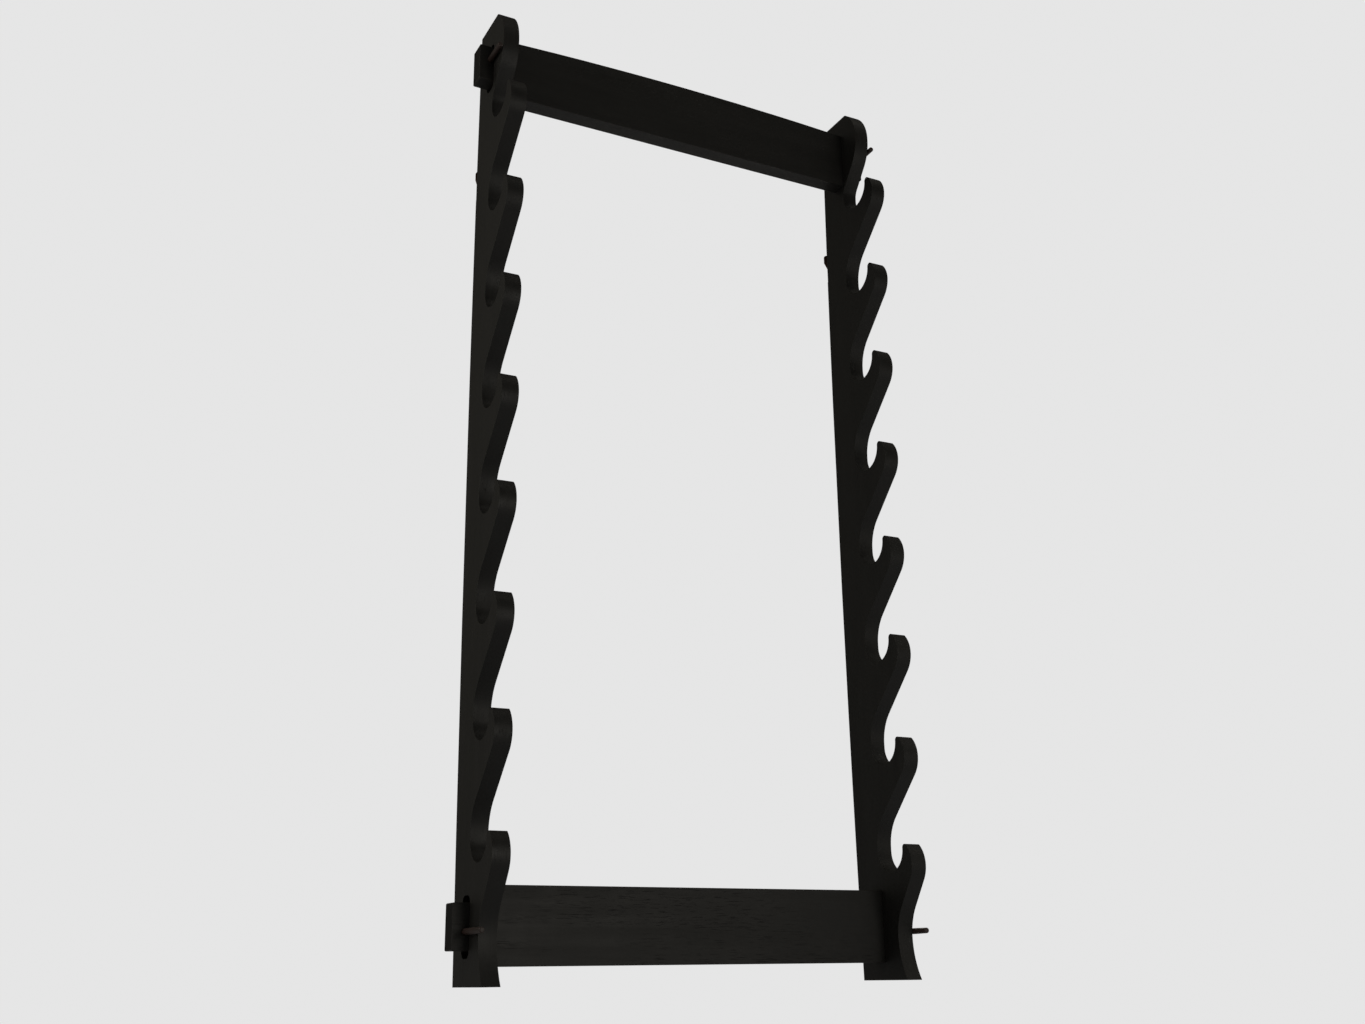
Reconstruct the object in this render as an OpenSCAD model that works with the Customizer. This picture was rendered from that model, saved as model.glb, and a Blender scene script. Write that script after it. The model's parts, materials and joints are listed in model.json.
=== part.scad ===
// Wall rack of two hooked uprights and two crossbars. Each pair of hooks holds one cue lying level.
// The crossbars' tenons pass through the uprights and are locked outside them by round pegs.
// The rack hangs on two wall screws, one through the plate on each upright's back edge.
//
// Frame: X runs along the crossbars, the wall is behind the rack at +Y, and +Z is up.
// The origin is on the wall, midway between the holes of the two hanger plates.

/* [Rack] */
// Width over the outer faces of the two uprights
rack_width = 424; // [300:1:900]
// Number of hooks on each upright
hook_count = 8; // [2:1:12]
// Height from one hook to the next
hook_pitch = 100; // [85:1:160]
// Thickness of the board that both uprights are cut from
board_thickness = 16; // [10:0.5:25]
// How far an upright's ends curve forward of its middle
bow = 5.5; // [0:0.5:12]

/* [Hooks] */
// Depth of board left behind each notch
spine_depth = 36; // [30:0.2:60]
// Width of the notch that a cue lies in, which ends in a half circle
notch_width = 40; // [32:0.5:60]
// Height of the bottom of the lowest notch above the foot
lowest_notch_height = 97; // [85:1:160]
// How far a hook's tip rises above the middle of that half circle
tip_rise = 3.6; // [3.4:0.1:12]
// Radius that rounds the tip of a hook
tip_radius = 3.3; // [1:0.1:3.3]
// How much further forward the top notch and its hook stand than the others
top_hook_forward = 2; // [0:0.5:6]
// Depth of a hook in front of its notch, where it is fullest
hook_thickness = 13.2; // [9:0.1:18]
// Radius of a hook's rounded front
hook_front_radius = 24.5; // [20:0.5:30]
// Length of straight spine between the half circle and the hollow above it
spine_straight = 4; // [1:0.5:8]
// Radius of the hollow that turns the spine forward to the hook above
hollow_radius = 40; // [20:1:45]

/* [Head and foot] */
// Height of the flat top above the middle of the top notch's half circle
head_height = 99; // [90:1:140]
// Height of the fullest part of the head above the same place
head_full_height = 59.5; // [58:0.5:75]
// Least length of the straight front of the head, above its fullest part
head_straight = 3; // [1:0.5:12]
// Depth of the head where it is fullest
head_depth = 65.3; // [58:0.1:80]
// Radius of the rounded front of the head
head_radius = 44.5; // [38:0.5:46]
// Length of straight spine between the top notch's half circle and the head
head_spine_straight = 4; // [0.5:0.5:6]
// Radius of the hollow between the top notch and the head
head_hollow_radius = 15; // [10:0.5:22]
// Radius that softens the front edge of the flat top
head_edge_radius = 5; // [1:0.5:8]
// Depth of the foot where it meets the bottom
foot_depth = 70.4; // [62:0.2:90]
// Depth of the waist above the foot
waist_depth = 60.4; // [52:0.2:62]
// Distance from the middle of the lowest hook's front down to the waist
waist_drop = 65; // [62:0.5:70]
// Radius of the hollow that joins the waist to the lowest hook
waist_radius = 50; // [20:1:54]

/* [Crossbars] */
// Thickness of the crossbars
rail_thickness = 17.7; // [10:0.1:24]
// How far forward of a notch's back the crossbars' front faces lie
rail_past_spine = 2.5; // [0:0.1:4]
// Height of the bottom crossbar above the foot
bottom_rail_rise = 15.7; // [8:0.1:22]
// Height of the bottom crossbar
bottom_rail_height = 65; // [60:0.5:75]
// Distance from the flat top of the uprights down to the ends of the top crossbar
top_rail_drop = 21.5; // [10:0.5:26]
// Height of the top crossbar at its ends
top_rail_height = 62.2; // [60:0.1:75]
// How much the top crossbar rises to its middle
top_rail_crown = 4.6; // [1:0.1:12]
// Height of the tenons
tenon_height = 38; // [20:0.5:42]
// Height of the shoulder below each tenon
tenon_shoulder = 12.5; // [10:0.5:15]
// How far the tenons stand out beyond the left upright
left_tenon_reach = 14.4; // [8:0.1:30]
// How far the tenons stand out beyond the right upright
right_tenon_reach = 8; // [8:0.1:30]
// Size of the chamfer on the corners of the tenons
tenon_chamfer = 0.8; // [0.3:0.1:2]
// Play between a tenon and its mortise, at the front, the back and the ends
mortise_play = 0.12; // [0.05:0.01:0.5]
// Radius left in the corners of the mortises, above and below the square tenon
mortise_corner_radius = 6; // [2:0.5:8]

/* [Pegs] */
// Diameter of the locking pegs
peg_diameter = 5.4; // [3:0.1:5.6]
// Diameter of a peg at its front end, where that is less
peg_tip_diameter = 5; // [2:0.1:5.6]
// Length over which the front of a peg narrows
peg_taper_length = 18; // [6:1:24]
// Length by which the bottom pegs stand out in front of the crossbar
bottom_peg_front = 40.6; // [26:0.2:60]
// Length by which the top pegs stand out in front of the crossbar
top_peg_front = 29; // [26:0.2:60]
// Length of all four pegs
peg_length = 62; // [60:1:90]
// Size of the chamfer on the back end of a peg
peg_chamfer = 0.5; // [0.2:0.1:0.9]
// Distance between a peg and the face of the upright that it locks
peg_stand_off = 0.8; // [0.2:0.1:1.6]
// How far the pegs lie from the middle of their tenons, towards the nearer end of the rack
peg_offset = 4; // [0:0.1:6]
// Running clearance around a peg in its hole
peg_clearance = 0.08; // [0.03:0.01:0.1]

/* [Hangers] */
// Width of the hanger plates
hanger_width = 14; // [10:0.5:16]
// Thickness of the metal of the hanger plates
hanger_metal = 1.5; // [1:0.1:2]
// How far the hanging face of a plate stands off the back edge of the upright
hanger_stand_off = 7.5; // [5:0.5:12]
// Distance from the flat top of the upright down to the top of the plate
hanger_drop = 146.5; // [110:0.5:260]
// Height of the hanging face of a plate
hanger_face_height = 9.5; // [9:0.5:14]
// Height of the sloping part of a plate
hanger_slope_height = 10; // [6:0.5:16]
// Height of the foot of a plate, which lies on the upright
hanger_foot_height = 16; // [14:0.5:24]
// Radius of the plates' corners
hanger_corner_radius = 3; // [1:0.25:4]
// Depth of the flat seat cut in the upright for a plate, at its shallow end
hanger_seat = 0.3; // [0.1:0.1:1]
// Room in that seat above and below the plate
hanger_seat_room = 0.5; // [0.2:0.1:2]
// Diameter of the hole that the wall screw passes through
hanging_hole_diameter = 5; // [3:0.1:6]

/* [Hanger screws] */
// Diameter of the shank
screw_diameter = 3; // [2:0.1:4]
// Length of the shank and point in the upright
screw_depth = 14; // [8:0.5:18]
// Length of the point
screw_point = 4; // [2:0.5:5]
// Diameter of the domed head
screw_head_diameter = 6.4; // [5:0.1:9]
// Height of the domed head
screw_head_height = 2.2; // [1.5:0.1:3]
// Length of the arms of the cross in the head
screw_cross_length = 3.8; // [2.5:0.1:4.5]
// Width of the arms of the cross in the head
screw_cross_width = 0.8; // [0.5:0.1:1]
// Clearance around the shank in its hole in the plate
screw_hole_clearance = 0.3; // [0.1:0.05:0.5]
// Clearance around the shank in the drilled upright
pilot_clearance = 0.05; // [0.02:0.01:0.1]

/* [Hidden] */

// Smoothness of everything turned or drilled
$fn = 64;
// Angle between two points along an arc of an outline
arc_step = 4;
// Points along the crown of the top crossbar
crown_points = 24;
// Points along the bowed back edge of an upright
bow_points = 36;
// Largest share of the head's radius that its round top rises through
head_rounding = 0.85;
// How far a cut runs past what it cuts
overrun = 1;

LEFT = -1;
RIGHT = 1;

// The outlines below are drawn as [depth, height] from a straight back edge and from the foot.
// Then each point moves forward by the bow at its height, which is nothing in the middle.
function bow_at(height) = bow * pow(2 * height / upright_height - 1, 2);
function bowed(points) = [for (p = points) [p[0] + bow_at(p[1]), p[1]]];

notch_radius = notch_width / 2;
lowest_notch_centre = lowest_notch_height + notch_radius;
top_notch_centre = lowest_notch_centre + (hook_count - 1) * hook_pitch;
upright_height = top_notch_centre + head_height;

// A hook's tip circle lies inside its front circle and touches it
tip_from_notch = [notch_radius + tip_radius, tip_rise - tip_radius];
front_across = notch_radius + hook_thickness - hook_front_radius;
tip_to_front = hook_front_radius - tip_radius;
front_from_notch = [front_across,
    tip_from_notch[1] - sqrt(pow(tip_to_front, 2) - pow(tip_from_notch[0] - front_across, 2))];
tip_angle = atan2(tip_from_notch[1] - front_from_notch[1], tip_from_notch[0] - front_from_notch[0]);

function notch_back(hook) = spine_depth + (hook == hook_count - 1 ? top_hook_forward : 0);
function notch_centre(hook) = [notch_back(hook) + notch_radius, lowest_notch_centre + hook * hook_pitch];

// The waist, and the circle of the flare that runs from it to the toe
waist_height = notch_centre(0)[1] + front_from_notch[1] - waist_drop;
flare = foot_depth - waist_depth;
flare_radius = (pow(flare, 2) + pow(waist_height, 2)) / (2 * flare);
flare_angle = asin(waist_height / flare_radius);

// The circles of the head, and of the edge between its front and its flat top
head_full_centre = [head_depth - head_radius, top_notch_centre + head_full_height];
head_edge_height = upright_height - head_edge_radius;
head_to_edge = head_radius - head_edge_radius;
// A taller head keeps its round top and gets a longer straight front
head_upper_centre = [head_full_centre[0],
    max(head_full_centre[1] + head_straight, head_edge_height - head_rounding * head_to_edge)];
head_edge_angle = asin((head_edge_height - head_upper_centre[1]) / head_to_edge);
head_edge_centre = head_upper_centre + head_to_edge * [cos(head_edge_angle), sin(head_edge_angle)];

// Points along an arc. An open arc leaves out its last point.
function arc(centre, radius, from, to) =
    let (steps = max(2, ceil(abs(to - from) / arc_step)))
    [for (i = [0 : steps]) point_on(centre, radius, from + (to - from) * i / steps)];
function open_arc(centre, radius, from, to) =
    let (points = arc(centre, radius, from, to))
    [for (i = [0 : len(points) - 2]) points[i]];
function point_on(centre, radius, angle) = centre + radius * [cos(angle), sin(angle)];

// An underside leaves a hollow and runs straight until it meets the round front above it.
// This is the direction from the hollow's side of that line, which touches both circles.
function underside_angle(hollow, hollow_r, front, front_r) =
    let (apart = hollow - front)
    atan2(apart[1], apart[0]) + acos((hollow_r + front_r) / norm(apart));

// From the upright wall of a hollow, forward and up to the fullest part of the front above
function rise_to_front(hollow, hollow_r, front, front_r, last_angle) =
    let (angle = underside_angle(hollow, hollow_r, front, front_r))
    concat(arc(hollow, hollow_r, 180, angle + 180), open_arc(front, front_r, angle, last_angle));

// The hollow below a hook: the waist's below the lowest hook, a spine's below the others
function hollow_radius_below(hook) = hook == 0 ? waist_radius : hollow_radius;
function hollow_centre_below(hook) = hook == 0
    ? [waist_depth + waist_radius, waist_height]
    : [spine_depth + hollow_radius, notch_centre(hook - 1)[1] + spine_straight];

// One hook, from the hollow below it to the spine behind its notch
function hook_outline(hook) =
    let (centre = notch_centre(hook))
    concat(
        rise_to_front(hollow_centre_below(hook), hollow_radius_below(hook),
            centre + front_from_notch, hook_front_radius, tip_angle),
        arc(centre + tip_from_notch, tip_radius, tip_angle, 180),
        arc(centre, notch_radius, 0, -180));

head_hollow_centre = [
    notch_back(hook_count - 1) + head_hollow_radius,
    top_notch_centre + head_spine_straight];

upright_outline = concat(
    [[0, 0]],
    open_arc([waist_depth + flare_radius, waist_height], flare_radius, 180 + flare_angle, 180),
    [for (hook = [0 : hook_count - 1]) each hook_outline(hook)],
    rise_to_front(head_hollow_centre, head_hollow_radius, head_full_centre, head_radius, 0),
    open_arc(head_upper_centre, head_radius, 0, head_edge_angle),
    arc(head_edge_centre, head_edge_radius, head_edge_angle, 90),
    [for (i = [0 : bow_points - 1]) [0, upright_height * (1 - i / bow_points)]]);

// Places of the crossbars, their tenons and their pegs
outer_face = rack_width / 2;
inner_face = outer_face - board_thickness;
board_middle = outer_face - board_thickness / 2;
top_rail_rise = upright_height - top_rail_drop - top_rail_height;
crown_radius = (pow(inner_face, 2) + pow(top_rail_crown, 2)) / (2 * top_rail_crown);
crown_angle = asin(inner_face / crown_radius);
peg_across = outer_face + peg_stand_off + peg_diameter / 2;
peg_hole_radius = peg_diameter / 2 + peg_clearance;

// Where a crossbar lies, given its height above the foot
function tenon_bottom(rail_rise) = rail_rise + tenon_shoulder;
function tenon_middle(rail_rise) = tenon_bottom(rail_rise) + tenon_height / 2;
function tenon_end(side) = outer_face + (side == LEFT ? left_tenon_reach : right_tenon_reach);
function rail_front(rail_rise) = spine_depth + rail_past_spine + bow_at(tenon_middle(rail_rise));
function rail_back(rail_rise) = rail_front(rail_rise) - rail_thickness;
function peg_height(rail_rise) =
    tenon_middle(rail_rise) + peg_offset * sign(tenon_middle(rail_rise) - upright_height / 2);

// Places of the hangers
hanger_top = upright_height - hanger_drop;
hanger_slope_top = hanger_top - hanger_face_height;
hanger_slope_bottom = hanger_slope_top - hanger_slope_height;
hanger_bottom = hanger_slope_bottom - hanger_foot_height;
hanging_height = hanger_top - hanger_face_height / 2;
hanger_screw_height = hanger_bottom + hanger_foot_height / 2;
// A plate's foot lies on a flat seat, and its face lies on the wall
seat_depth = max(bow_at(hanger_bottom), bow_at(hanger_slope_bottom)) + hanger_seat;
wall_depth = seat_depth - hanger_stand_off;
// Height gained by the metal's thickness where the plate bends
hanger_slope_angle = atan2(hanger_stand_off - hanger_metal, hanger_slope_height);
hanger_mitre = hanger_metal * tan(hanger_slope_angle / 2);
// The seat goes on up until the sloping part of the plate is clear of its upper lip
seat_lip = seat_depth - bow_at(hanger_slope_bottom);
seat_bottom = hanger_bottom - hanger_seat_room;
seat_top = hanger_slope_bottom + hanger_mitre + seat_lip / tan(hanger_slope_angle) + hanger_seat_room;

// Moves what is drawn from the back edges and the foot to the frame's origin
module on_wall() {
    translate([0, wall_depth, -hanging_height]) children();
}

// Draws an outline of [depth, height] as a slab across the rack
module slab(points, width) {
    translate([-width / 2, 0, 0])
        rotate([90, 0, 90])
            linear_extrude(width)
                polygon([for (p = points) [-p[0], p[1]]]);
}

// A round hole or rod along Y, from one depth to another
module along_depth(radius, from_depth, to_depth) {
    translate([0, -from_depth, 0])
        rotate([90, 0, 0])
            cylinder(h = to_depth - from_depth, r = radius);
}

// The mortise is cut with a round cutter, so it is longer than the square tenon by a corner at each end
module mortise(rail_rise) {
    bottom = tenon_bottom(rail_rise) - mortise_play - mortise_corner_radius;
    top = tenon_bottom(rail_rise) + tenon_height + mortise_play + mortise_corner_radius;
    back = rail_back(rail_rise) - mortise_play + mortise_corner_radius;
    front = rail_front(rail_rise) + mortise_play - mortise_corner_radius;
    low = bottom + mortise_corner_radius;
    high = top - mortise_corner_radius;
    slab(concat(
        arc([front, high], mortise_corner_radius, 0, 90),
        arc([back, high], mortise_corner_radius, 90, 180),
        arc([back, low], mortise_corner_radius, 180, 270),
        arc([front, low], mortise_corner_radius, 270, 360)),
        board_thickness + 2 * overrun);
}

module upright(side) {
    color("#211e1b")
        on_wall()
            translate([side * board_middle, 0, 0])
                difference() {
                    slab(bowed(upright_outline), board_thickness);
                    mortise(bottom_rail_rise);
                    mortise(top_rail_rise);
                    slab([[-overrun, seat_bottom], [seat_depth, seat_bottom],
                        [seat_depth, seat_top], [-overrun, seat_top]],
                        board_thickness + 2 * overrun);
                    translate([0, 0, hanger_screw_height])
                        along_depth(screw_diameter / 2 + pilot_clearance,
                            -overrun, seat_depth + screw_depth + overrun);
                }
}

// Half of a crossbar's end, from the middle of the tenon's end round to the shoulder
function tenon_corner(side, height, up) = [
    [side * tenon_end(side), height - up * tenon_chamfer],
    [side * (tenon_end(side) - tenon_chamfer), height],
    [side * inner_face, height]];

function reversed(points) = [for (i = [len(points) - 1 : -1 : 0]) points[i]];

// Outline of a crossbar as [across, height], given the points of its top edge from right to left
function rail_outline(rise, top_edge) =
    let (low = tenon_bottom(rise), high = low + tenon_height)
    concat(
        [[-inner_face, rise], [inner_face, rise]],
        reversed(tenon_corner(RIGHT, low, -1)),
        tenon_corner(RIGHT, high, 1),
        top_edge,
        reversed(tenon_corner(LEFT, high, 1)),
        tenon_corner(LEFT, low, -1));

module rail(rise, top_edge) {
    color("#1e1c1a")
        on_wall()
            difference() {
                translate([0, -rail_back(rise), 0])
                    rotate([90, 0, 0])
                        linear_extrude(rail_thickness)
                            polygon(rail_outline(rise, top_edge));
                for (side = [LEFT, RIGHT])
                    translate([side * peg_across, 0, peg_height(rise)])
                        along_depth(peg_hole_radius, rail_back(rise) - overrun, rail_front(rise) + overrun);
            }
}

module top_rail() {
    top = top_rail_rise + top_rail_height;
    rail(top_rail_rise,
        [for (i = [0 : crown_points])
            let (angle = 90 - crown_angle + 2 * crown_angle * i / crown_points)
            point_on([0, top + top_rail_crown - crown_radius], crown_radius, angle)]);
}

module bottom_rail() {
    top = bottom_rail_rise + bottom_rail_height;
    rail(bottom_rail_rise, [[inner_face, top], [-inner_face, top]]);
}

// A peg turned about its own axis: a chamfered back end, a straight shank and a rounded, narrower front
module peg(side, rise, front) {
    radius = peg_diameter / 2;
    tip = min(peg_tip_diameter, peg_diameter) / 2;
    color("#3a1f18")
        on_wall()
            translate([side * peg_across, -rail_front(rise) - front + peg_length, peg_height(rise)])
                rotate([90, 0, 0])
                    rotate_extrude()
                        polygon(concat(
                            [[0, 0], [radius - peg_chamfer, 0], [radius, peg_chamfer],
                                [radius, peg_length - peg_taper_length]],
                            arc([tip / 2, peg_length - tip / 2], tip / 2, 0, 90),
                            [[0, peg_length]]));
}

// A strip of metal bent twice: the foot lies on the upright, the face stands off it
module hanger(side) {
    inner = hanger_stand_off - hanger_metal;
    color("#4a2c20")
        on_wall()
            translate([side * board_middle, -seat_depth, 0])
                difference() {
                    intersection() {
                        slab([[0, hanger_bottom],
                            [0, hanger_slope_bottom + hanger_mitre],
                            [-inner, hanger_slope_top + hanger_mitre],
                            [-inner, hanger_top],
                            [-hanger_stand_off, hanger_top],
                            [-hanger_stand_off, hanger_slope_top],
                            [-hanger_metal, hanger_slope_bottom],
                            [-hanger_metal, hanger_bottom]], hanger_width);
                        hanger_blank();
                    }
                    translate([0, 0, hanging_height])
                        along_depth(hanging_hole_diameter / 2, -hanger_stand_off - overrun, 0);
                    translate([0, 0, hanger_screw_height])
                        along_depth(screw_diameter / 2 + screw_hole_clearance,
                            -hanger_metal - overrun, overrun);
                }
}

// The flat outline of a hanger plate, with its round corners
module hanger_blank() {
    across = hanger_width / 2 - hanger_corner_radius;
    high = hanger_top - hanger_corner_radius;
    low = hanger_bottom + hanger_corner_radius;
    translate([0, hanger_stand_off + overrun, 0])
        rotate([90, 0, 0])
            linear_extrude(hanger_stand_off + 2 * overrun)
                polygon(concat(
                    arc([across, high], hanger_corner_radius, 0, 90),
                    arc([-across, high], hanger_corner_radius, 90, 180),
                    arc([-across, low], hanger_corner_radius, 180, 270),
                    arc([across, low], hanger_corner_radius, 270, 360)));
}

// A wood screw with a domed head and a cross in it, driven in from the back
module hanger_screw(side) {
    head = screw_head_diameter / 2;
    shank = screw_diameter / 2;
    dome_radius = (pow(head, 2) + pow(screw_head_height, 2)) / (2 * screw_head_height);
    dome_angle = asin((dome_radius - screw_head_height) / dome_radius);
    color("#6b5a48")
        on_wall()
            translate([side * board_middle, hanger_metal - seat_depth, hanger_screw_height])
                rotate([-90, 0, 0])
                    difference() {
                        rotate_extrude()
                            polygon(concat(
                                [[0, -hanger_metal - screw_depth],
                                    [shank, -hanger_metal - screw_depth + screw_point],
                                    [shank, 0]],
                                arc([0, screw_head_height - dome_radius], dome_radius, dome_angle, 90)));
                        for (turn = [0, 90])
                            rotate([0, 0, turn])
                                translate([-screw_cross_length / 2, -screw_cross_width / 2,
                                    screw_head_height / 2])
                                    cube([screw_cross_length, screw_cross_width, screw_head_height]);
                    }
}

upright(LEFT);  // left_upright
upright(RIGHT);  // right_upright
top_rail();
bottom_rail();
peg(LEFT, top_rail_rise, top_peg_front);  // top_left_peg
peg(RIGHT, top_rail_rise, top_peg_front);  // top_right_peg
peg(LEFT, bottom_rail_rise, bottom_peg_front);  // bottom_left_peg
peg(RIGHT, bottom_rail_rise, bottom_peg_front);  // bottom_right_peg
hanger(LEFT);  // left_hanger
hanger(RIGHT);  // right_hanger
hanger_screw(LEFT);  // left_hanger_screw
hanger_screw(RIGHT);  // right_hanger_screw
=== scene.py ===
import bpy
import json
from math import radians
from mathutils import Matrix, Vector

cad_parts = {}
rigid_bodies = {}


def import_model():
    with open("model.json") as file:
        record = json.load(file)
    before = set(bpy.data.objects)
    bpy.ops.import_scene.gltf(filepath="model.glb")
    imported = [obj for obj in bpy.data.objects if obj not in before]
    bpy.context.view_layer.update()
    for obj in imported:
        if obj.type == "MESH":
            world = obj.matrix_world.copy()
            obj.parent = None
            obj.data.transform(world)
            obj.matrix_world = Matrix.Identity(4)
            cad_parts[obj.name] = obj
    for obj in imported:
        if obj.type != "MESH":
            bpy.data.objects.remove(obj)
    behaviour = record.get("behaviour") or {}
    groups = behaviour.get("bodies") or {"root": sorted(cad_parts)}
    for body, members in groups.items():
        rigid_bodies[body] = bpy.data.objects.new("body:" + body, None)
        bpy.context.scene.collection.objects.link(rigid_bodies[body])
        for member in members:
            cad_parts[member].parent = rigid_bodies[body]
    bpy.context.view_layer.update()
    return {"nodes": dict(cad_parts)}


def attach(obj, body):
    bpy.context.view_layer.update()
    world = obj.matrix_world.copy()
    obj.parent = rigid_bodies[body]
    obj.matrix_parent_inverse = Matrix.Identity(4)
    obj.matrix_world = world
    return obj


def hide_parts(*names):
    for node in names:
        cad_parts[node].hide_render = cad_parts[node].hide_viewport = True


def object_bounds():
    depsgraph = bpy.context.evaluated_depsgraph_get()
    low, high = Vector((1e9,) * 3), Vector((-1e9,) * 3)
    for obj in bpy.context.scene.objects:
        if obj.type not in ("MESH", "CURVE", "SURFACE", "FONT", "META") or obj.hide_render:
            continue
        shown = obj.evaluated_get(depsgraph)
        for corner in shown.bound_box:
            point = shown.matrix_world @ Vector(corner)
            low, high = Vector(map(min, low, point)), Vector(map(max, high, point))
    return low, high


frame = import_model()
print("frame loaded")


def newNode(tree, kind, **values):
    node = tree.nodes.new(kind)
    for name, value in values.items():
        setattr(node, name, value)
    return node


def newGroup(name, inputs, outputs):
    tree = bpy.data.node_groups.new(name, "ShaderNodeTree")
    for socketName, socketType, value in inputs:
        socket = tree.interface.new_socket(name=socketName, in_out="INPUT", socket_type=socketType)
        if value is not None:
            socket.default_value = value
    for socketName, socketType in outputs:
        tree.interface.new_socket(name=socketName, in_out="OUTPUT", socket_type=socketType)
    return tree, newNode(tree, "NodeGroupInput"), newNode(tree, "NodeGroupOutput")


def mathNode(tree, operation, first, second=None, clamp=False):
    node = newNode(tree, "ShaderNodeMath", operation=operation, use_clamp=clamp)
    for index, value in enumerate((first, second)):
        if value is None:
            continue
        if isinstance(value, (int, float)):
            node.inputs[index].default_value = value
        else:
            tree.links.new(value, node.inputs[index])
    return node.outputs[0]


def noiseNode(tree, vector, scale, detail=3.0, rough=0.5, distortion=0.0):
    node = newNode(tree, "ShaderNodeTexNoise")
    node.inputs["Detail"].default_value = detail
    node.inputs["Roughness"].default_value = rough
    node.inputs["Distortion"].default_value = distortion
    if isinstance(scale, (int, float)):
        node.inputs["Scale"].default_value = scale
    else:
        tree.links.new(scale, node.inputs["Scale"])
    tree.links.new(vector, node.inputs["Vector"])
    return node.outputs[0]


def rampNode(tree, value, low, high):
    node = newNode(tree, "ShaderNodeMapRange", clamp=True)
    node.inputs["From Min"].default_value = low
    node.inputs["From Max"].default_value = high
    tree.links.new(value, node.inputs["Value"])
    return node.outputs["Result"]


def mixColour(tree, factor, first, second):
    node = newNode(tree, "ShaderNodeMix", data_type="RGBA")
    for socket, value in ((node.inputs[0], factor), (node.inputs[6], first), (node.inputs[7], second)):
        if isinstance(value, (int, float, tuple)):
            socket.default_value = value
        else:
            tree.links.new(value, socket)
    return node.outputs[2]


# Grain that runs along X of the vector it is given: long streaks, open pores and a slow figure
def makeWoodGrain():
    tree, given, out = newGroup(
        "woodGrain",
        [("Vector", "NodeSocketVector", None), ("Fineness", "NodeSocketFloat", 1.0)],
        [("Streaks", "NodeSocketFloat"), ("Pores", "NodeSocketFloat"),
         ("Figure", "NodeSocketFloat"), ("Height", "NodeSocketFloat")])
    links = tree.links
    wander = newNode(tree, "ShaderNodeMapping")
    wander.inputs["Scale"].default_value = (2.2, 9.0, 9.0)
    links.new(given.outputs["Vector"], wander.inputs["Vector"])
    drift = newNode(tree, "ShaderNodeTexNoise")
    drift.inputs["Scale"].default_value = 1.0
    drift.inputs["Detail"].default_value = 2.0
    links.new(wander.outputs[0], drift.inputs["Vector"])
    shift = newNode(tree, "ShaderNodeVectorMath", operation="SCALE")
    shift.inputs["Scale"].default_value = 0.014
    links.new(drift.outputs["Color"], shift.inputs[0])
    moved = newNode(tree, "ShaderNodeVectorMath", operation="ADD")
    links.new(given.outputs["Vector"], moved.inputs[0])
    links.new(shift.outputs[0], moved.inputs[1])

    def stretched(along, across):
        node = newNode(tree, "ShaderNodeMapping")
        node.inputs["Scale"].default_value = (along, across, across)
        links.new(moved.outputs[0], node.inputs["Vector"])
        return node.outputs[0]

    figure = noiseNode(tree, stretched(5, 75), given.outputs["Fineness"], 3, 0.55)
    streaks = noiseNode(tree, stretched(16, 620), given.outputs["Fineness"], 4, 0.6)
    poreField = noiseNode(tree, stretched(70, 1500), given.outputs["Fineness"], 2, 0.5)
    pores = rampNode(tree, poreField, 0.61, 0.7)
    patches = rampNode(tree, noiseNode(tree, stretched(6, 40), given.outputs["Fineness"], 2), 0.35, 0.62)
    pores = mathNode(tree, "MULTIPLY", pores, patches)
    height = mathNode(tree, "SUBTRACT", mathNode(tree, "MULTIPLY", streaks, 0.45),
                      mathNode(tree, "MULTIPLY", pores, 0.8))
    height = mathNode(tree, "ADD", height, mathNode(tree, "MULTIPLY", figure, 0.25))
    links.new(rampNode(tree, streaks, 0.3, 0.72), out.inputs["Streaks"])
    links.new(pores, out.inputs["Pores"])
    links.new(rampNode(tree, figure, 0.3, 0.7), out.inputs["Figure"])
    links.new(height, out.inputs["Height"])
    return tree


# Handling marks: soft cloudy rubs, sparse thin scratches and small specks
def makeHandling():
    tree, given, out = newGroup(
        "handling",
        [("Vector", "NodeSocketVector", None), ("Rubbed", "NodeSocketFloat", 0.5)],
        [("Rubs", "NodeSocketFloat"), ("Scratches", "NodeSocketFloat"), ("Specks", "NodeSocketFloat")])
    vector = given.outputs["Vector"]
    clouds = rampNode(tree, noiseNode(tree, vector, 19, 5, 0.6, 0.4), 0.48, 0.78)
    rubs = mathNode(tree, "MULTIPLY", clouds, given.outputs["Rubbed"], clamp=True)
    turned = newNode(tree, "ShaderNodeMapping")
    turned.inputs["Rotation"].default_value = (0.5, 0.7, 0.3)
    turned.inputs["Scale"].default_value = (20, 900, 900)
    tree.links.new(vector, turned.inputs["Vector"])
    lines = rampNode(tree, noiseNode(tree, turned.outputs[0], 1.0, 1, 0.4), 0.76, 0.8)
    where = rampNode(tree, noiseNode(tree, vector, 31, 2), 0.55, 0.68)
    scratches = mathNode(tree, "MULTIPLY", lines, where)
    specks = rampNode(tree, noiseNode(tree, vector, 780, 1, 0.5), 0.74, 0.8)
    tree.links.new(rubs, out.inputs["Rubs"])
    tree.links.new(scratches, out.inputs["Scratches"])
    tree.links.new(specks, out.inputs["Specks"])
    return tree


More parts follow.
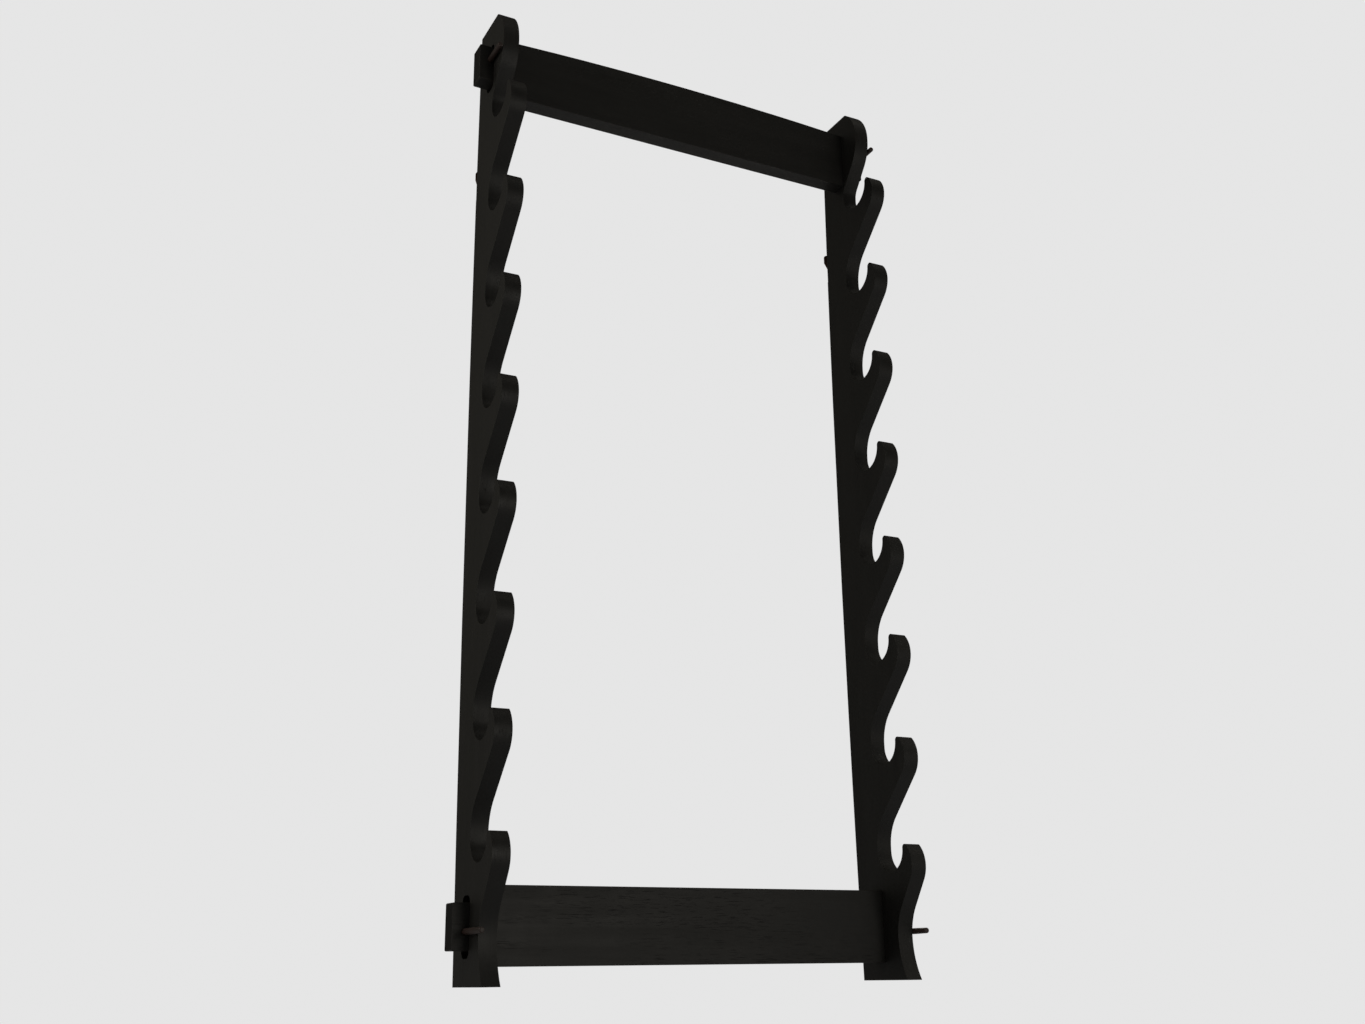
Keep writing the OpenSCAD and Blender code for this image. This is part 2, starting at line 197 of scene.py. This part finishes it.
# Dust settles on what faces up, more thickly in places
def makeDust():
    tree, given, out = newGroup(
        "settledDust",
        [("Vector", "NodeSocketVector", None), ("Amount", "NodeSocketFloat", 0.3)],
        [("Dust", "NodeSocketFloat")])
    geometry = newNode(tree, "ShaderNodeNewGeometry")
    split = newNode(tree, "ShaderNodeSeparateXYZ")
    tree.links.new(geometry.outputs["Normal"], split.inputs[0])
    up = rampNode(tree, split.outputs["Z"], 0.35, 0.95)
    cover = rampNode(tree, noiseNode(tree, given.outputs["Vector"], 60, 5, 0.65), 0.3, 0.75)
    dust = mathNode(tree, "MULTIPLY", mathNode(tree, "MULTIPLY", up, cover), given.outputs["Amount"],
                    clamp=True)
    tree.links.new(dust, out.inputs["Dust"])
    return tree


woodGrain = makeWoodGrain()
handling = makeHandling()
settledDust = makeDust()


def newMaterial(name):
    material = bpy.data.materials.new(name)
    material.use_nodes = True
    return material, material.node_tree, material.node_tree.nodes["Principled BSDF"]


def groupNode(tree, group, vector, **values):
    node = newNode(tree, "ShaderNodeGroup", node_tree=group)
    tree.links.new(vector, node.inputs["Vector"])
    for name, value in values.items():
        node.inputs[name].default_value = value
    return node


def placedVector(tree, turn, offset):
    place = newNode(tree, "ShaderNodeTexCoord")
    mapping = newNode(tree, "ShaderNodeMapping")
    mapping.inputs["Rotation"].default_value = turn
    mapping.inputs["Location"].default_value = offset
    tree.links.new(place.outputs["Object"], mapping.inputs["Vector"])
    return mapping.outputs[0]


def bumpNode(tree, height, strength, distance):
    node = newNode(tree, "ShaderNodeBump")
    node.inputs["Strength"].default_value = strength
    node.inputs["Distance"].default_value = distance
    tree.links.new(height, node.inputs["Height"])
    return node.outputs[0]


# Black stain under a thin satin coat, with rubs, scratches, specks and dust over it
def blackWood(name, turn, offset, values):
    material, tree, shader = newMaterial(name)
    vector = placedVector(tree, turn, offset)
    grain = groupNode(tree, woodGrain, vector, Fineness=values["fineness"])
    marks = groupNode(tree, handling, vector, Rubbed=values["rubbed"])
    dust = groupNode(tree, settledDust, vector, Amount=values["dust"])
    colour = mixColour(tree, grain.outputs["Streaks"], values["dark"], values["light"])
    for source, output, strength, tint in (
            (grain, "Figure", 0.6, "figure"), (grain, "Pores", 0.75, "pore"), (marks, "Rubs", 1.0, "rub"),
            (marks, "Scratches", 0.5, "scratch"), (marks, "Specks", 0.35, "scratch"),
            (dust, "Dust", 1.0, "dustColour")):
        amount = source.outputs[output]
        if strength != 1.0:
            amount = mathNode(tree, "MULTIPLY", amount, strength)
        colour = mixColour(tree, amount, colour, values[tint])
    tree.links.new(colour, shader.inputs["Base Color"])
    rough = mathNode(tree, "ADD", values["rough"], mathNode(tree, "MULTIPLY", grain.outputs["Figure"], 0.1))
    rough = mathNode(tree, "ADD", rough, mathNode(tree, "MULTIPLY", grain.outputs["Pores"], 0.2))
    rough = mathNode(tree, "SUBTRACT", rough, mathNode(tree, "MULTIPLY", marks.outputs["Rubs"], 0.12))
    rough = mathNode(tree, "ADD", rough, mathNode(tree, "MULTIPLY", dust.outputs["Dust"], 0.3), clamp=True)
    tree.links.new(rough, shader.inputs["Roughness"])
    height = mathNode(tree, "SUBTRACT", grain.outputs["Height"],
                      mathNode(tree, "MULTIPLY", marks.outputs["Scratches"], 0.4))
    tree.links.new(bumpNode(tree, height, values["bump"], 0.0003), shader.inputs["Normal"])
    shader.inputs["Specular IOR Level"].default_value = values["specular"]
    return material


blackFace = {
    "dark": (0.0026, 0.0024, 0.002, 1),
    "light": (0.0064, 0.0059, 0.0048, 1),
    "figure": (0.0085, 0.0077, 0.0061, 1),
    "pore": (0.001, 0.0009, 0.0008, 1),
    "rub": (0.0118, 0.0106, 0.0085, 1),
    "scratch": (0.033, 0.027, 0.02, 1),
    "dustColour": (0.034, 0.031, 0.0255, 1),
    "fineness": 1.0,
    "rubbed": 0.35,
    "dust": 0.22,
    "rough": 0.47,
    "bump": 0.42,
    "specular": 0.42,
}
# Hands and cues have polished the eased edges lighter
blackEdge = dict(blackFace, light=(0.0105, 0.0089, 0.0068, 1), rub=(0.022, 0.0155, 0.0112, 1),
                 rubbed=0.85, rough=0.4, bump=0.3)
# Sawn ends drink more stain and shine less
blackEnd = dict(blackFace, dark=(0.0012, 0.0011, 0.0009, 1), light=(0.0036, 0.0033, 0.0027, 1),
                figure=(0.0042, 0.0038, 0.003, 1), rub=(0.007, 0.0063, 0.005, 1),
                rough=0.62, bump=0.6, specular=0.26)
alongHeight = (0, radians(90), 0)
alongWidth = (0, 0, 0)


def boardMaterials(name, turn, offset):
    return [blackWood(name + "End", turn, offset, blackEnd),
            blackWood(name + "Face", turn, offset, blackFace),
            blackWood(name + "Edge", turn, offset, blackEdge)]


pegWood = {
    "dark": (0.012, 0.0062, 0.005, 1),
    "light": (0.036, 0.0195, 0.0155, 1),
    "figure": (0.024, 0.012, 0.0092, 1),
    "pore": (0.007, 0.0035, 0.0028, 1),
    "rub": (0.06, 0.036, 0.028, 1),
    "dustColour": (0.12, 0.1, 0.082, 1),
    "fineness": 1.25,
    "rubbed": 0.6,
    "dust": 0.3,
    "rough": 0.4,
    "bump": 0.4,
}
alongDepth = (0, 0, radians(90))


# Reddish-brown dowel with its grain along the peg
def pegMaterial(name, offset, values):
    material, tree, shader = newMaterial(name)
    vector = placedVector(tree, alongDepth, offset)
    grain = groupNode(tree, woodGrain, vector, Fineness=values["fineness"])
    marks = groupNode(tree, handling, vector, Rubbed=values["rubbed"])
    dust = groupNode(tree, settledDust, vector, Amount=values["dust"])
    figure = mathNode(tree, "MULTIPLY", grain.outputs["Figure"], 0.5)
    pores = mathNode(tree, "MULTIPLY", grain.outputs["Pores"], 0.8)
    colour = mixColour(tree, grain.outputs["Streaks"], values["dark"], values["light"])
    colour = mixColour(tree, figure, colour, values["figure"])
    colour = mixColour(tree, pores, colour, values["pore"])
    colour = mixColour(tree, marks.outputs["Rubs"], colour, values["rub"])
    colour = mixColour(tree, dust.outputs["Dust"], colour, values["dustColour"])
    tree.links.new(colour, shader.inputs["Base Color"])
    streaks = mathNode(tree, "MULTIPLY", grain.outputs["Streaks"], 0.16)
    rough = mathNode(tree, "ADD", values["rough"], streaks, clamp=True)
    tree.links.new(rough, shader.inputs["Roughness"])
    tree.links.new(bumpNode(tree, grain.outputs["Height"], values["bump"], 0.0002), shader.inputs["Normal"])
    return material


plateBronze = {
    "finish": (0.1, 0.043, 0.024, 1),
    "bare": (0.3, 0.16, 0.085, 1),
    "rough": 0.42,
}
screwSteel = {
    "finish": (0.2, 0.165, 0.13, 1),
    "bare": (0.42, 0.38, 0.33, 1),
    "rough": 0.34,
}


# Rolled metal under a dull finish that has rubbed through in places
def metalMaterial(name, offset, values):
    material, tree, shader = newMaterial(name)
    vector = placedVector(tree, alongHeight, offset)
    marks = groupNode(tree, handling, vector, Rubbed=0.9)
    rolled = newNode(tree, "ShaderNodeMapping")
    rolled.inputs["Scale"].default_value = (60, 2600, 2600)
    tree.links.new(vector, rolled.inputs["Vector"])
    lines = noiseNode(tree, rolled.outputs[0], 1.0, 3, 0.6)
    blotches = rampNode(tree, noiseNode(tree, vector, 240, 5, 0.6, 0.3), 0.35, 0.7)
    finish = values["finish"]
    stained = tuple(0.55 * part for part in finish[:3]) + (1,)
    colour = mixColour(tree, blotches, finish, stained)
    worn = mathNode(tree, "ADD", mathNode(tree, "MULTIPLY", marks.outputs["Rubs"], 0.6),
                    marks.outputs["Scratches"], clamp=True)
    colour = mixColour(tree, worn, colour, values["bare"])
    tree.links.new(colour, shader.inputs["Base Color"])
    roughness = mathNode(tree, "ADD", values["rough"], mathNode(tree, "MULTIPLY", blotches, 0.18))
    roughness = mathNode(tree, "SUBTRACT", roughness, mathNode(tree, "MULTIPLY", worn, 0.15), clamp=True)
    tree.links.new(roughness, shader.inputs["Roughness"])
    metallic = mathNode(tree, "ADD", 0.75, mathNode(tree, "MULTIPLY", worn, 0.25), clamp=True)
    tree.links.new(metallic, shader.inputs["Metallic"])
    height = mathNode(tree, "ADD", mathNode(tree, "MULTIPLY", lines, 0.5),
                      mathNode(tree, "MULTIPLY", blotches, 0.2))
    tree.links.new(bumpNode(tree, height, 0.3, 0.0001), shader.inputs["Normal"])
    return material


print("materials made")


def deselectAll():
    if bpy.context.mode != "OBJECT":
        bpy.ops.object.mode_set(mode="OBJECT")
    bpy.ops.object.select_all(action="DESELECT")


# Flat faces across the grain, at either end of the piece, take the first material
def markSawnEnds(piece, axis, depth):
    reach = [corner.co[axis] for corner in piece.data.vertices]
    low, high = min(reach), max(reach)
    for face in piece.data.polygons:
        past = min(face.center[axis] - low, high - face.center[axis])
        if abs(face.normal[axis]) > 0.95 and past < depth:
            face.material_index = 0


# A copy of a CAD node with its triangles merged into whole faces and its edges eased.
# The last material goes on the eased edges. Where endAxis is given, the first goes on the sawn ends.
def easedCopy(node, name, sizes, materials, body, endAxis=None):
    deselectAll()
    source = frame["nodes"][node]
    source.select_set(True)
    bpy.context.view_layer.objects.active = source
    bpy.ops.object.duplicate(linked=False)
    piece = bpy.context.view_layer.objects.active
    piece.name = name
    piece.data.name = name
    for key in [k for k in piece.keys() if k.startswith("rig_")]:
        del piece[key]
    bpy.ops.object.parent_clear(type="CLEAR_KEEP_TRANSFORM")
    bpy.ops.object.mode_set(mode="EDIT")
    bpy.ops.mesh.select_all(action="SELECT")
    bpy.ops.mesh.remove_doubles(threshold=0.000002)
    bpy.ops.mesh.customdata_custom_splitnormals_clear()
    bpy.ops.mesh.dissolve_limited(angle_limit=radians(0.4), use_dissolve_boundaries=False)
    bpy.ops.mesh.normals_make_consistent(inside=False)
    bpy.ops.object.mode_set(mode="OBJECT")
    piece.data.materials.clear()
    for material in materials:
        piece.data.materials.append(material)
    for face in piece.data.polygons:
        face.material_index = 0 if endAxis is None else 1
    if endAxis is not None:
        markSawnEnds(piece, endAxis, sizes["endDepth"])
    easing = piece.modifiers.new("easedEdges", "BEVEL")
    easing.width = sizes["edgeRadius"]
    easing.segments = sizes["edgeSteps"]
    easing.limit_method = "ANGLE"
    easing.angle_limit = radians(sizes["edgeAngle"])
    easing.use_clamp_overlap = True
    easing.miter_outer = "MITER_ARC"
    easing.material = len(materials) - 1
    bpy.ops.object.modifier_apply(modifier=easing.name)
    bpy.ops.object.shade_smooth_by_angle(angle=radians(sizes["smoothAngle"]))
    weighting = piece.modifiers.new("flatFaces", "WEIGHTED_NORMAL")
    weighting.mode = "FACE_AREA"
    weighting.keep_sharp = True
    bpy.ops.object.modifier_apply(modifier=weighting.name)
    deselectAll()
    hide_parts(node)
    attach(piece, body)


boards = {
    "edgeRadius": 0.0011,
    "edgeSteps": 3,
    "edgeAngle": 38,
    "smoothAngle": 32,
    "endDepth": 0.0004,
}
uprightOffsets = {"left": (0.11, 0.32, 0.05), "right": (0.47, 0.13, 0.29)}
for side, offset in uprightOffsets.items():
    easedCopy(side + "_upright", side + "UprightBoard", boards,
              boardMaterials(side + "Upright", alongHeight, offset), "rack", endAxis=2)
print("uprights eased")

crossbars = {
    "edgeRadius": 0.0009,
    "edgeSteps": 3,
    "edgeAngle": 38,
    "smoothAngle": 32,
    "endDepth": 0.0004,
}
railOffsets = {"top": (0.21, 0.4, 0.17), "bottom": (0.05, 0.27, 0.36)}
for end, offset in railOffsets.items():
    easedCopy(end + "_rail", end + "Crossbar", crossbars,
              boardMaterials(end + "Crossbar", alongWidth, offset), "rack", endAxis=0)
print("crossbars eased")

lockPegs = {
    "edgeRadius": 0.0003,
    "edgeSteps": 2,
    "edgeAngle": 40,
    "smoothAngle": 50,
}
pegOffsets = {
    "top_left": (0.1, 0.0, 0.3),
    "top_right": (0.2, 0.1, 0.1),
    "bottom_left": (0.3, 0.2, 0.2),
    "bottom_right": (0.4, 0.3, 0.0),
}
for place, offset in pegOffsets.items():
    first, second = place.split("_")
    pieceName = first + second.capitalize() + "Peg"
    easedCopy(place + "_peg", pieceName, lockPegs, [pegMaterial(pieceName + "Wood", offset, pegWood)],
              place + "_lock")
print("pegs turned")

plates = {
    "edgeRadius": 0.00025,
    "edgeSteps": 2,
    "edgeAngle": 40,
    "smoothAngle": 35,
}
for side, offset in uprightOffsets.items():
    plateFinish = metalMaterial(side + "PlateBronze", offset, plateBronze)
    easedCopy(side + "_hanger", side + "HangerPlate", plates, [plateFinish], "rack")
    screwFinish = metalMaterial(side + "ScrewSteel", offset, screwSteel)
    easedCopy(side + "_hanger_screw", side + "HangerScrew", plates, [screwFinish], "rack")
print("hangers and screws finished")

warmWhite = (1, 0.955, 0.86)
studio = {
    "floorDrop": 0.42,
    "floorRadius": 8.0,
    "floorSides": 96,
    "floorShade": (0.4, 0.4, 0.4, 1),
    "floorGlow": 0.6,
    "backdrop": (0.79, 0.79, 0.79, 1),
    "fill": (0.35, 0.35, 0.35, 1),
    "gloss": (0.064, 0.061, 0.052, 1),
}


def makeFloor():
    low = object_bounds()[0]
    deselectAll()
    bpy.ops.mesh.primitive_circle_add(vertices=studio["floorSides"], radius=studio["floorRadius"],
                                      fill_type="NGON", location=(0, -0.04, low[2] - studio["floorDrop"]))
    floor = bpy.context.view_layer.objects.active
    floor.name = "studioFloor"
    bpy.ops.object.transform_apply(location=True, rotation=True, scale=True)
    material, tree, shader = newMaterial("paleFloor")
    shader.inputs["Base Color"].default_value = studio["floorShade"]
    shader.inputs["Roughness"].default_value = 0.9
    shader.inputs["Specular IOR Level"].default_value = 0.1
    shader.inputs["Emission Color"].default_value = (1, 1, 1, 1)
    path = newNode(tree, "ShaderNodeLightPath")
    glow = mathNode(tree, "MULTIPLY", path.outputs["Is Camera Ray"], studio["floorGlow"])
    tree.links.new(glow, shader.inputs["Emission Strength"])
    floor.data.materials.append(material)


# The backdrop is pale. The fill is softer, and what the satin wood mirrors is dimmer still.
def makeWorld():
    world = bpy.data.worlds.new("studioWorld")
    bpy.context.scene.world = world
    world.use_nodes = True
    tree = world.node_tree
    path = newNode(tree, "ShaderNodeLightPath")
    shades = [tree.nodes["Background"]] + [newNode(tree, "ShaderNodeBackground") for extra in range(2)]
    for shade, key in zip(shades, ("fill", "gloss", "backdrop")):
        shade.inputs["Color"].default_value = studio[key]
    mirrored = newNode(tree, "ShaderNodeMixShader")
    tree.links.new(path.outputs["Is Glossy Ray"], mirrored.inputs["Fac"])
    tree.links.new(shades[0].outputs[0], mirrored.inputs[1])
    tree.links.new(shades[1].outputs[0], mirrored.inputs[2])
    seen = newNode(tree, "ShaderNodeMixShader")
    tree.links.new(path.outputs["Is Camera Ray"], seen.inputs["Fac"])
    tree.links.new(mirrored.outputs[0], seen.inputs[1])
    tree.links.new(shades[2].outputs[0], seen.inputs[2])
    tree.links.new(seen.outputs[0], tree.nodes["World Output"].inputs["Surface"])


softLights = {
    "sideLight": {"place": (-0.9, -0.08, -0.15), "target": (0, -0.06, -0.32), "size": (0.4, 1.3), "power": 1.9},
    "rimLight": {"place": (-2.0, 0.9, 0.1), "target": (0, -0.04, -0.3), "size": (0.8, 2.0), "power": 2.2},
    "lowLight": {"place": (0.45, -1.7, -0.6), "target": (0, -0.04, -0.6), "size": (0.9, 0.5), "power": 1.9},
    "frontLight": {"place": (0.5, -2.2, -0.2), "target": (0, -0.04, -0.3), "size": (0.6, 0.7), "power": 2.6},
    "overheadLight": {"place": (0.8, -0.5, 1.9), "target": (0, -0.04, -0.3), "size": (0.9, 0.6), "power": 1.2},
    "rightLight": {"place": (1.9, -0.15, 0.0), "target": (0, -0.05, -0.3), "size": (0.6, 1.6), "power": 5.0},
    "backLight": {"place": (0.9, 1.9, 0.3), "target": (0, -0.04, -0.3), "size": (0.9, 1.4), "power": 5.0},
}


def addSoftLight(name, place, target, size, power):
    light = bpy.data.lights.new(name, "AREA")
    light.shape = "RECTANGLE"
    light.size, light.size_y = size
    light.energy = power
    light.color = warmWhite
    lamp = bpy.data.objects.new(name, light)
    bpy.context.scene.collection.objects.link(lamp)
    lamp.location = place
    lamp.rotation_mode = "QUATERNION"
    lamp.rotation_quaternion = (Vector(target) - Vector(place)).to_track_quat("-Z", "Y")


makeFloor()
makeWorld()
for name, values in softLights.items():
    addSoftLight(name, **values)
print("studio lit")

view = {
    "place": (-0.62500, -1.22586, -0.75990),
    "forward": (0.4408, 0.8447, 0.3036),
    "right": (0.8886, -0.4585, -0.0146),
    "lens": 38.56,
    "sensor": 36,
    "near": 0.05,
    "far": 60,
}


def makeCamera():
    camera = bpy.data.cameras.new("viewCamera")
    camera.sensor_width = view["sensor"]
    camera.sensor_fit = "HORIZONTAL"
    camera.lens = view["lens"]
    camera.clip_start = view["near"]
    camera.clip_end = view["far"]
    holder = bpy.data.objects.new("viewCamera", camera)
    bpy.context.scene.collection.objects.link(holder)
    ahead = Vector(view["forward"]).normalized()
    up = Vector(view["right"]).cross(ahead).normalized()
    right = ahead.cross(up)
    turn = Matrix((right, up, -ahead)).transposed()
    holder.matrix_world = Matrix.Translation(view["place"]) @ turn.to_4x4()
    bpy.context.scene.camera = holder


makeCamera()
bpy.context.scene.view_settings.view_transform = "Standard"
print("camera placed")
